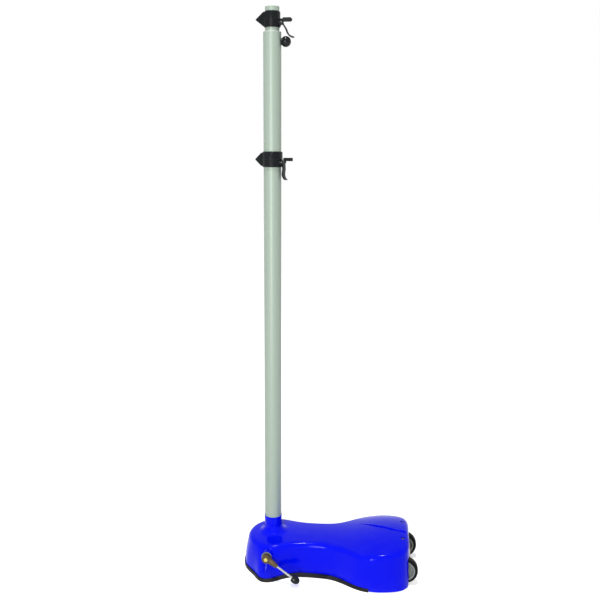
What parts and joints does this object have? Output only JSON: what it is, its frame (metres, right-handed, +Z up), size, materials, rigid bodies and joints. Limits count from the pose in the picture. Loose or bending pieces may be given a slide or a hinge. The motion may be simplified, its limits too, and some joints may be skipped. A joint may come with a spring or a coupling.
{
  "type": "net post with wheeled base",
  "caption": "Telescopic net post standing in a weighted, wheeled base, with sliding cord collars and clamp levers.",
  "frame": {"origin": "where the mast's axis meets the floor, on the underside of the rubber mat", "axes": "+Z up the mast's axis; +X from the mast towards the transport wheels; the base's clamp lever is on the -Y side"},
  "size_m": [0.5135, 0.2695, 1.5815],
  "materials": {
    "cover_blue": "glossy moulded polyethylene, saturated blue",
    "mat_rubber": "matt black rubber sheet",
    "pad_rubber": "soft black rubber",
    "plate_steel": "black painted steel",
    "cast_ballast": "raw grey iron casting",
    "zinc_steel": "zinc-plated steel",
    "bracket_zinc": "yellowish zinc-plated sheet",
    "bright_steel": "polished steel",
    "mast_aluminium": "satin anodised tube",
    "hub_bronze": "dull cast bronze",
    "screw_brass": "bright brass",
    "washer_grey": "mid-grey washer",
    "black_nylon": "black glass-filled nylon",
    "black_bakelite": "glossy black knob",
    "plug_pale": "pale grey plastic",
    "tyre_black": "solid black rubber",
    "wheel_grey": "light grey moulded plastic"
  },
  "bodies": {
    "base": {"base_mat": "mat_rubber", "mat_screws": "zinc_steel", "base_plate": "plate_steel", "ballast_lower": "cast_ballast", "ballast_upper": "cast_ballast", "ballast_studs": "zinc_steel", "ballast_nuts": "zinc_steel", "mast_socket": "plate_steel", "socket_gussets": "plate_steel", "socket_bolts": "zinc_steel", "clamp_boss": "plate_steel", "foot_pad": "pad_rubber", "base_cover": "cover_blue", "cover_posts": "zinc_steel", "cover_screws": "plate_steel", "lever_washer": "washer_grey", "axle_bracket": "bracket_zinc", "bracket_bolts": "zinc_steel", "axle": "bright_steel", "axle_caps": "zinc_steel", "wheel_spacers": "zinc_steel", "clamp_pad": "pad_rubber"},
    "clamp_lever": {"clamp_spindle": "bright_steel", "lever_hub": "hub_bronze", "hub_screw": "screw_brass", "lever_rod": "bright_steel", "lever_knob": "black_bakelite"},
    "wheel_left": {"wheel_hub_left": "wheel_grey", "tyre_left": "tyre_black", "wheel_bush_left": "plug_pale"},
    "wheel_right": {"wheel_hub_right": "wheel_grey", "tyre_right": "tyre_black", "wheel_bush_right": "plug_pale"},
    "mast": {"main_tube": "mast_aluminium", "mast_foot_plug": "black_nylon", "guide_bush": "plug_pale", "knob_insert": "black_nylon", "knob_tip": "pad_rubber"},
    "extension": {"inner_tube": "mast_aluminium", "inner_glide": "black_nylon", "inner_cap": "plug_pale"},
    "ball_knob": {"knob_screw": "bright_steel", "ball_knob": "black_bakelite"},
    "middle_collar": {"middle_collar": "black_nylon", "middle_collar_pad": "pad_rubber", "middle_lever_pin": "zinc_steel", "middle_peg_stud": "bright_steel", "middle_peg_grip": "black_nylon"},
    "middle_lever": {"middle_lever": "black_nylon"},
    "top_collar": {"top_collar": "black_nylon", "top_collar_pad": "pad_rubber", "top_lever_pin": "zinc_steel", "top_peg_stud": "bright_steel", "top_peg_grip": "black_nylon"},
    "top_lever": {"top_lever": "black_nylon"}
  },
  "joints": [
    {"name": "clamp_turn", "type": "hinge", "parent": "base", "child": "clamp_lever", "pos_m": [-0.003, -0.1124, 0.072], "axis": [0, -1, 0], "range_deg": [0, 150]},
    {"name": "wheel_left_spin", "type": "hinge", "parent": "base", "child": "wheel_left", "pos_m": [0.39, 0.072, 0.044], "axis": [0, 1, 0], "continuous": true},
    {"name": "wheel_right_spin", "type": "hinge", "parent": "base", "child": "wheel_right", "pos_m": [0.39, -0.072, 0.044], "axis": [0, 1, 0], "continuous": true},
    {"name": "mast_lift", "type": "slide", "parent": "base", "child": "mast", "axis": [0, 0, 1], "range_m": [0, 0.128]},
    {"name": "mast_extend", "type": "slide", "parent": "mast", "child": "extension", "axis": [0, 0, 1], "range_m": [0, 0.88]},
    {"name": "knob_turn", "type": "hinge", "parent": "mast", "child": "ball_knob", "pos_m": [0.036, 0, 1.494], "axis": [1, 0, 0], "range_deg": [0, 360]},
    {"name": "middle_collar_slide", "type": "slide", "parent": "mast", "child": "middle_collar", "axis": [0, 0, 1], "range_m": [-0.93, 0.26]},
    {"name": "middle_lever_turn", "type": "hinge", "parent": "middle_collar", "child": "middle_lever", "pos_m": [0.03089, -0.00713, 1.1826], "axis": [-0.225, -0.9744, 0], "range_deg": [0, 75]},
    {"name": "top_collar_slide", "type": "slide", "parent": "extension", "child": "top_collar", "axis": [0, 0, 1], "range_m": [-0.001, 0.01]},
    {"name": "top_lever_turn", "type": "hinge", "parent": "top_collar", "child": "top_lever", "pos_m": [0.0257, 0, 1.5416], "axis": [0, -1, 0], "range_deg": [-1, 37]}
  ]
}
